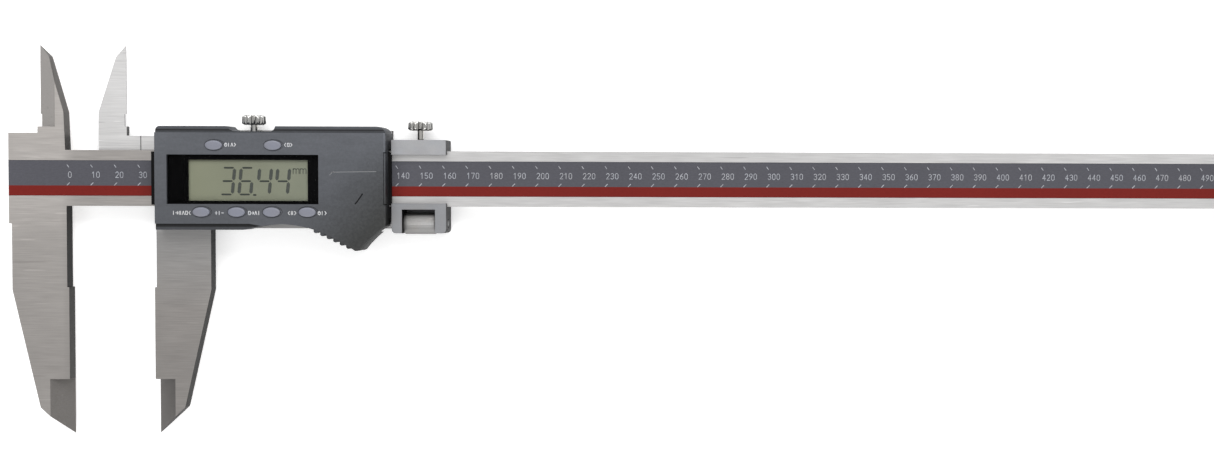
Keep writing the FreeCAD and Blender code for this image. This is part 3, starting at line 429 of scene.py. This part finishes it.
def turned(name, profile, centre, axis, body, slot, replaces, ridges, depth):
    """A turned solid with straight knurls. The profile is (place along the axis, radius, share
    of the knurls' depth), in metres."""
    mesh = bmesh.new()
    steps = ridges * STEPS_PER_RIDGE
    rings = []
    for along, radius, share in profile:
        ring = []
        for n in range(steps):
            angle = 2 * math.pi * n / steps
            wave = 0.5 - 0.5 * math.cos(ridges * angle)
            r = radius - share * depth * wave ** 1.5
            u, v = r * math.cos(angle), r * math.sin(angle)
            offset = Vector((along, u, v)) if axis == "X" else Vector((u, along, v))
            ring.append(mesh.verts.new(centre + offset))
        rings.append(ring)
    for low, high in zip(rings, rings[1:]):
        bridge(mesh, low, high)
    mesh.faces.new(rings[0])
    mesh.faces.new(rings[-1])
    bmesh.ops.recalc_face_normals(mesh, faces=mesh.faces)
    made = piece(name, mesh, body, finishes[slot], replaces)
    return smooth(made)


def smooth(made, angle=35):
    for face in made.data.polygons:
        face.use_smooth = True
    made.data.set_sharp_from_angle(angle=math.radians(angle))
    return made


# ------------------------------------------------------------------------- the scale's print
STROKES = {  # runs of points on a grid 1 high, as a pen would draw each digit
    "0": [[(0.1, 0.2), (0.1, 0.8), (0.25, 1), (0.45, 1), (0.6, 0.8), (0.6, 0.2), (0.45, 0),
           (0.25, 0), (0.1, 0.2)]],
    "1": [[(0.15, 0.78), (0.38, 1), (0.38, 0)]],
    "2": [[(0.1, 0.8), (0.25, 1), (0.47, 1), (0.6, 0.8), (0.6, 0.62), (0.1, 0), (0.62, 0)]],
    "3": [[(0.1, 0.86), (0.27, 1), (0.45, 1), (0.6, 0.83), (0.6, 0.66), (0.45, 0.53), (0.28, 0.53)],
          [(0.45, 0.53), (0.6, 0.38), (0.6, 0.17), (0.45, 0), (0.25, 0), (0.1, 0.14)]],
    "4": [[(0.46, 0), (0.46, 1), (0.08, 0.3), (0.64, 0.3)]],
    "5": [[(0.58, 1), (0.15, 1), (0.12, 0.56), (0.42, 0.6), (0.6, 0.42), (0.6, 0.18), (0.43, 0),
           (0.25, 0), (0.1, 0.12)]],
    "6": [[(0.52, 1), (0.2, 0.66), (0.1, 0.36), (0.1, 0.18), (0.25, 0), (0.45, 0), (0.6, 0.18),
           (0.6, 0.38), (0.45, 0.55), (0.25, 0.55), (0.12, 0.38)]],
    "7": [[(0.08, 1), (0.62, 1), (0.28, 0)]],
    "8": [[(0.27, 0.53), (0.12, 0.68), (0.12, 0.85), (0.27, 1), (0.43, 1), (0.58, 0.85),
           (0.58, 0.68), (0.43, 0.53), (0.27, 0.53), (0.1, 0.36), (0.1, 0.17), (0.25, 0),
           (0.45, 0), (0.6, 0.17), (0.6, 0.36), (0.43, 0.53)]],
    "m": [[(0, 0), (0, 0.64)],
          [(0, 0.5), (0.14, 0.63), (0.28, 0.63), (0.38, 0.5), (0.38, 0)],
          [(0.38, 0.5), (0.52, 0.63), (0.66, 0.63), (0.76, 0.5), (0.76, 0)]],
}
# a nine is a six turned half round
STROKES["9"] = [[(0.7 - x, 1 - y) for x, y in STROKES["6"][0]]]


def write(mesh, text, left, bottom, tall, pitch, width, height, place):
    """Strokes of digits from left to right, in drawing mm. The pitch is a share of their height."""
    for number, letter in enumerate(text):
        for line in STROKES[letter]:
            points = [(left + (number * pitch + x) * tall, bottom + y * tall) for x, y in line]
            ribbon(mesh, points, width, height, place)


def on_beam(x, y, z):
    return at(x, y, z, on_slider=False)


PRINT_Z = 12.05  # the strip's face
LAST_NUMBER = 500
marks = bmesh.new()
for number in range(0, LAST_NUMBER + 1, 10):
    x = float(number)
    ribbon(marks, [(x - 0.4, 17.6), (x + 0.3, 16.6)], 0.26, PRINT_Z, on_beam)
    ribbon(marks, [(x + 0.6, 9.95), (x - 0.4, 8.95)], 0.3, PRINT_Z, on_beam)
    write(marks, str(number), x - 0.1, 12.2, 2.4, 0.8, 0.22, PRINT_Z, on_beam)
piece("scale_marks", marks, "beam", worn_print)

# ----------------------------------------------------------------------- display and labels
LCD_Z = 18.9  # the panel's face
SEGMENT_GAP, SEGMENT_HEIGHT = 0.28, 0.04
SEGMENTS = {
    "a": ((0, 1), (1, 1)), "b": ((1, 1), (1, 0.5)), "c": ((1, 0.5), (1, 0)), "d": ((0, 0), (1, 0)),
    "e": ((0, 0.5), (0, 0)), "f": ((0, 1), (0, 0.5)), "g": ((0, 0.5), (1, 0.5)),
}
LIT = {"3": "abcdg", "6": "acdefg", "4": "bcfg"}


def segment(mesh, start, end, half, height):
    """One six-sided display segment between two points."""
    a, b = Vector(start), Vector(end)
    along = (b - a).normalized()
    side = Vector((-along.y, along.x)) * half
    a, b = a + along * SEGMENT_GAP, b - along * SEGMENT_GAP
    tip = along * half
    ring = (a, a + tip - side, b - tip - side, b, b - tip + side, a + tip + side)
    low = [mesh.verts.new(at(p.x, p.y, height)) for p in ring]
    high = [mesh.verts.new(at(p.x, p.y, height + SEGMENT_HEIGHT)) for p in ring]
    mesh.faces.new(high)
    bridge(mesh, low, high)


DIGIT_W, DIGIT_H, DIGIT_Y, DIGIT_LEAN = 5.0, 11.4, 5.1, 1.1
DIGIT_LEFTS = (29.9, 37.7, 45.5, 53.2)
FLAT_HALF_WIDTH, UPRIGHT_HALF_WIDTH = 0.38, 0.72
digits, uprights = bmesh.new(), bmesh.new()
for letter, left in zip("3644", DIGIT_LEFTS):
    for name in LIT[letter]:
        ends = [
            (left + DIGIT_W * x + DIGIT_LEAN * y, DIGIT_Y + DIGIT_H * y) for x, y in SEGMENTS[name]
        ]
        if name in "adg":
            segment(digits, *ends, FLAT_HALF_WIDTH, LCD_Z)
        else:
            segment(uprights, *ends, UPRIGHT_HALF_WIDTH, LCD_Z)
# the decimal point and the unit
ribbon(digits, [(44.05, 4.9), (44.75, 4.9)], 0.8, LCD_Z, at)
write(digits, "mm", 60.7, 14.1, 3.3, 0.9, 0.3, LCD_Z, at)
piece("display_digits", digits, "slider", dark_ink)
piece("display_digit_uprights", uprights, "slider", soft_ink)

# generic shapes that stand in for the captions beside the buttons
RING_ANGLES = [math.radians(120 + 30 * n) for n in range(11)]
GLYPHS = {
    "ring": [[(math.cos(a) * 0.5 + 0.5, math.sin(a) * 0.5 + 0.5) for a in RING_ANGLES],
             [(0.5, 1.05), (0.5, 0.55)]],
    "left": [[(0.7, 1), (0.15, 0.5), (0.7, 0)]],
    "right": [[(0.2, 1), (0.75, 0.5), (0.2, 0)]],
    "plus": [[(0.1, 0.5), (0.9, 0.5)], [(0.5, 0.95), (0.5, 0.05)]],
    "minus": [[(0.1, 0.5), (0.85, 0.5)]],
    "box": [[(0.1, 0), (0.1, 1), (0.85, 1), (0.85, 0), (0.1, 0)]],
    "bar": [[(0.4, 0), (0.4, 1)]],
    "bars": [[(0.15, 0), (0.15, 1)], [(0.7, 0), (0.7, 1)]],
    "arrow": [[(0.0, 0.5), (1.0, 0.5)], [(0.6, 0.9), (1.0, 0.5), (0.6, 0.1)]],
    "peak": [[(0.05, 0), (0.5, 1), (0.95, 0)]],
}
FACE_Z = 22  # the housing's face
GLYPH_PITCH, GLYPH_WIDTH, GLYPH_STROKE = 0.93, 0.72, 0.24
LABELS = (  # left, bottom, height and shapes of each caption
    (32.5, 25.6, 1.4, ("ring", "bar", "peak", "right")),
    (57.6, 25.6, 1.4, ("left", "box", "right")),
    (10.4, -3.5, 1.45, ("bar", "arrow", "bars", "peak", "box", "left")),
    (28.3, -3.5, 1.45, ("plus", "bar", "minus")),
    (42.3, -3.5, 1.45, ("box", "arrow", "peak", "bar")),
    (59.0, -3.5, 1.45, ("left", "bars", "right")),
    (71.8, -3.5, 1.45, ("ring", "bar", "right")),
)
symbols = bmesh.new()
for left, bottom, tall, names in LABELS:
    for number, name in enumerate(names):
        for line in GLYPHS[name]:
            points = [
                (left + (GLYPH_PITCH * number + GLYPH_WIDTH * x) * tall, bottom + y * tall)
                for x, y in line
            ]
            ribbon(symbols, points, GLYPH_STROKE, FACE_Z, at)
piece("keypad_symbols", symbols, "slider", white_print)

# a fine moulded line with a nick at its end, and a small slanted cut drawn as a flat stroke of
# painted shadow, right of the display
moulded = bmesh.new()
ribbon(moulded, [(77.6, 14.75), (96.4, 15.05)], 0.3, FACE_Z, at)
ribbon(moulded, [(76.8, 13.6), (78.3, 15.0)], 0.28, FACE_Z, at)
piece("moulded_line", moulded, "slider", scuff_grey)
slash = bmesh.new()
ribbon(slash, [(87.6, 1.3), (88.4, 2.2), (90.6, 5.4)], 0.55, FACE_Z, at)
piece("slanted_cut", slash, "slider", shadow_black)

# --------------------------------------------------------------------------------- buttons
BUTTON_RADII = (3.7, 2.1)
BUTTON_STEPS = 48
BUTTONS = {
    "upper_left_button": (27.9, 26.1), "upper_right_button": (52.8, 26.1),
    "lower_button_1": (22.5, -2.4), "lower_button_2": (37.4, -2.4),
    "lower_button_3": (52.2, -2.4), "lower_button_4": (67.3, -2.4),
}
CAP_PROFILE = (  # height and share of the button's radii, from the skirt to the crown
    (18.7, 1.16), (19.8, 1.16), (19.8, 1.0), (22.35, 0.995), (22.55, 0.975), (22.7, 0.93),
    (22.8, 0.8), (22.86, 0.6), (22.89, 0.35), (22.9, 0.1),
)


def oval(mesh, centre, share, height):
    """A ring of vertices round a button, at a share of its radii."""
    ring = []
    for n in range(BUTTON_STEPS):
        angle = 2 * math.pi * n / BUTTON_STEPS
        x = centre[0] + BUTTON_RADII[0] * share * math.cos(angle)
        y = centre[1] + BUTTON_RADII[1] * share * math.sin(angle)
        ring.append(mesh.verts.new(at(x, y, height)))
    return ring


for name, centre in BUTTONS.items():
    cap = bmesh.new()
    rings = [oval(cap, centre, share, height) for height, share in CAP_PROFILE]
    for low, high in zip(rings, rings[1:]):
        bridge(cap, low, high)
    cap.faces.new(list(reversed(rings[0])))
    cap.faces.new(rings[-1])
    made = piece(f"{name}_cap", cap, name, finishes["button_grey"], (name,))
    smooth(made, 50)

# painted shadow round each button: a flat dark ring, a little wider on the right and above
SHADOW_RING_SHIFT = (0.3, 0.14)
shadow_rings = bmesh.new()
for centre in BUTTONS.values():
    outer_centre = (centre[0] + SHADOW_RING_SHIFT[0], centre[1] + SHADOW_RING_SHIFT[1])
    inner = oval(shadow_rings, centre, 1.03, FACE_Z - 0.1)
    rim = oval(shadow_rings, outer_centre, 1.15, FACE_Z + 0.03)
    bridge(shadow_rings, inner, rim)
bmesh.ops.recalc_face_normals(shadow_rings, faces=shadow_rings.faces)
piece("button_shadow_rings", shadow_rings, "slider", shadow_black)


# ------------------------------------------------------------- knurled screws and the nut
KNOB_RIDGES, KNOB_DEPTH = 13, 0.8 * MM
SHANK_RADIUS, SHANK_PITCH, SHANK_GROOVE = 1.5 * MM, 0.5 * MM, 0.28 * MM


def knob(name, node, head_bottom, head_top, radius, neck):
    """A clamp screw: threaded shank, polished neck and a coarse straight-knurled head."""
    low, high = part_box(node)
    centre = Vector(((low.x + high.x) / 2, 0, (low.z + high.z) / 2))
    foot, bottom, top = low.y, row_y(head_bottom), row_y(head_top)
    neck, radius = neck * MM, radius * MM
    profile = [(foot, 0.9 * MM, 0), (foot + 0.4 * MM, SHANK_RADIUS, 0)]
    turn, thread_end = foot + 0.6 * MM, bottom - 3.6 * MM
    while turn + SHANK_PITCH < thread_end:
        profile.append((turn, SHANK_RADIUS, 0))
        profile.append((turn + SHANK_PITCH / 2, SHANK_RADIUS - SHANK_GROOVE, 0))
        turn += SHANK_PITCH
    profile += [
        (thread_end, SHANK_RADIUS, 0),
        (thread_end, neck, 0),
        (bottom, neck, 0),
        (bottom, neck + 0.3 * MM, 0),
        (bottom, radius - 1.1 * MM, 0),
        (bottom + 0.35 * MM, radius - 0.35 * MM, 0.6),
        (bottom + 0.7 * MM, radius, 1),
        (top - 0.8 * MM, radius, 1),
        (top - 0.4 * MM, radius - 0.3 * MM, 0.6),
        (top, radius - 0.9 * MM, 0),
        (top, radius - 1.5 * MM, 0),
        (top - 0.35 * MM, radius - 1.9 * MM, 0),
        (top - 0.35 * MM, 0.5 * MM, 0),
    ]
    turned(name, profile, centre, "Y", node, "knob_steel", (node,), KNOB_RIDGES, KNOB_DEPTH)


knob("slider_clamp_knob", "slider_clamp_screw", 35.1, 39.3, 5.1, 1.65)
knob("carriage_clamp_knob", "carriage_clamp_screw", 32.9, 36.8, 5.35, 1.4)


def knurled_nut():
    """The fine adjustment nut: rounded ends and fine straight knurls."""
    low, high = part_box("fine_nut")
    half, radius = (high.x - low.x) / 2, (high.z - low.z) / 2
    bore = 2.05 * MM
    right_end = [
        (half - 0.6 * MM, radius, 1),
        (half - 0.4 * MM, radius - 0.12 * MM, 0.6),
        (half - 0.1 * MM, 4.4 * MM, 0),
        (half, 4.2 * MM, 0),
        (half, bore, 0),
    ]
    left_end = [(-along, r, share) for along, r, share in reversed(right_end)]
    turned(
        "fine_nut_knurled", left_end + right_end, (low + high) / 2, "X",
        "fine_nut", "nut_steel", ("fine_nut",), ridges=44, depth=0.14 * MM,
    )


knurled_nut()


def screw_thread():
    """The fine screw: a real helix of 0.7 mm pitch between two chamfered ends."""
    low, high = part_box("fine_screw")
    core = (low + high) / 2
    pitch, crest, root, end_length, around = 0.7 * MM, 1.99 * MM, 1.62 * MM, 0.6 * MM, 28
    section = ((0.0, root), (0.12, root), (0.42, crest), (0.58, crest), (0.88, root))
    turns = int((high.x - low.x - 2 * end_length) / pitch)
    thread = bmesh.new()

    def corner(x, radius, angle):
        y = core.y + radius * math.cos(angle)
        z = core.z + radius * math.sin(angle)
        return thread.verts.new((x, y, z))

    rows = []
    for n in range(turns * around + 1):
        angle = 2 * math.pi * n / around
        x = low.x + end_length + pitch * n / around
        rows.append([corner(x + (share - 0.5) * pitch, r, angle) for share, r in section])
    for first, second in zip(rows, rows[1:]):
        bridge(thread, first, second, closed=False)
    # each turn's last edge meets the next turn's first edge
    for n in range(len(rows) - around - 1):
        following = n + around
        thread.faces.new((rows[n][4], rows[following][0], rows[following + 1][0], rows[n + 1][4]))
    bmesh.ops.recalc_face_normals(thread, faces=thread.faces)
    angles = [2 * math.pi * k / around for k in range(around)]
    for x, sign in ((low.x, 1), (high.x, -1)):
        tip = [corner(x, 1.3 * MM, angle) for angle in angles]
        wide = [corner(x + sign * end_length, 1.75 * MM, angle) for angle in angles]
        thread.faces.new(tip)
        bridge(thread, tip, wide)
    screw = finishes["screw_steel"]
    smooth(piece("fine_screw_thread", thread, "slider", screw, ("fine_screw",)), 25)


screw_thread()


# ------------------------------------------------------------------------- edges that catch light
EASED = {
    "housing": 0.22 * MM, "main_beam": 0.12 * MM, "slider_frame": 0.12 * MM,
    "carriage_frame": 0.25 * MM,
}


def ease(node, width):
    """A small rounded edge on a CAD node, as a modifier."""
    made = frame["nodes"][node]
    weld = made.modifiers.new("weld", "WELD")
    weld.merge_threshold = 0.000002
    bevel = made.modifiers.new("bevel", "BEVEL")
    bevel.width, bevel.segments, bevel.limit_method = width, 2, "ANGLE"
    bevel.angle_limit = math.radians(30)
    bevel.use_clamp_overlap = True


for name, width in EASED.items():
    ease(name, width)


# ------------------------------------------------------------------------------ floor and light
def lay_floor(half=6, gap=0.02 * MM):
    """A pale floor, just below the caliper, that glows a little so that shadows stay soft."""
    look = Finish("floor", Roughness=0.9)
    cloud = look.vary(look.noise(6, detail=2.0), 0.0, 1.0)
    tone = look.mix(cloud, (0.9, 0.9, 0.9), (0.92, 0.92, 0.92))
    look.shader.inputs["Emission Color"].default_value = (1, 1, 1, 1)
    look.shader.inputs["Emission Strength"].default_value = 0.4
    plane = bmesh.new()
    height = cad_box[0].z - gap
    corners = ((-half, -half), (half, -half), (half, half), (-half, half))
    plane.faces.new([plane.verts.new((x, y, height)) for x, y in corners])
    data = bpy.data.meshes.new("floor")
    plane.to_mesh(data)
    plane.free()
    data.materials.append(look.finish(tone))
    ground = bpy.data.objects.new("floor", data)
    scene.collection.objects.link(ground)


lay_floor()
BOX_TARGET, BOX_SIZE = (0.25, 0, 0), (2.2, 0.9)


def softbox(name, where, power):
    light = bpy.data.lights.new(name, "AREA")
    light.shape, light.size, light.size_y, light.energy = "RECTANGLE", *BOX_SIZE, power
    made = bpy.data.objects.new(name, light)
    made.location = where
    made.rotation_euler = (Vector(BOX_TARGET) - Vector(where)).to_track_quat("-Z", "Y").to_euler()
    scene.collection.objects.link(made)


softbox("softbox_far", (0.3, 1.1, 1.2), 24)
softbox("softbox_near", (0.1, -1.1, 1.3), 15)

SKY_START, SKY_END = (0, 0.7), (1, 1.0)
SKY_CURVE = ((0.5, 0.7), (0.56, 0.6), (0.64, 0.16), (0.76, 0.2), (0.86, 0.85))


def hang_sky():
    """The room's light: pale at the horizon, a dark ring of flags above it, bright overhead, and
    a little brighter towards the beam's far end."""
    world = bpy.data.worlds.new("studio")
    world.use_nodes = True
    nodes, links = world.node_tree.nodes, world.node_tree.links
    background = nodes["Background"]
    split = nodes.new("ShaderNodeSeparateXYZ")
    links.new(nodes.new("ShaderNodeTexCoord").outputs["Generated"], split.inputs[0])

    def remap(value, *limits):
        made = nodes.new("ShaderNodeMapRange")
        links.new(value, made.inputs[0])
        for socket, limit in zip(made.inputs[1:5], limits):
            socket.default_value = limit
        return made.outputs[0]

    sweep = remap(split.outputs["X"], -0.4, 0.4, 0.62, 0.84)
    # the curve runs from straight down at 0 through the horizon at 0.5 to overhead at 1
    rise = nodes.new("ShaderNodeFloatCurve")
    links.new(remap(split.outputs["Z"], -1, 1, 0, 1), rise.inputs["Value"])
    curve = rise.mapping.curves[0]
    curve.points[0].location, curve.points[1].location = SKY_START, SKY_END
    for place in SKY_CURVE:
        curve.points.new(*place)
    rise.mapping.update()
    product = nodes.new("ShaderNodeMath")
    product.operation = "MULTIPLY"
    links.new(sweep, product.inputs[0])
    links.new(rise.outputs[0], product.inputs[1])
    grey = nodes.new("ShaderNodeCombineColor")
    for socket in grey.inputs[:3]:
        links.new(product.outputs[0], socket)
    links.new(grey.outputs[0], background.inputs["Color"])
    background.inputs["Strength"].default_value = 1.0
    scene.world = world


hang_sky()
scene.view_settings.view_transform = "Standard"

# ----------------------------------------------------------------------------------- camera
camera_data = bpy.data.cameras.new("camera")
camera_data.sensor_width = 36
camera_data.lens = 65.55
camera_data.shift_x, camera_data.shift_y = -0.22, 0.02
camera_data.clip_start, camera_data.clip_end = 0.05, 30
camera = bpy.data.objects.new("camera", camera_data)
# it looks almost straight down: the angles are in degrees, the first one applied last
CAMERA_PLACE = (0.30589, 0.0634, 0.9672)
CAMERA_TURNS = (("Z", 0.164), ("Y", -2.404), ("X", -1.877))
pose = Matrix.Translation(CAMERA_PLACE)
for axis, degrees in CAMERA_TURNS:
    pose = pose @ Matrix.Rotation(math.radians(degrees), 4, axis)
camera.matrix_world = pose
scene.collection.objects.link(camera)
scene.camera = camera
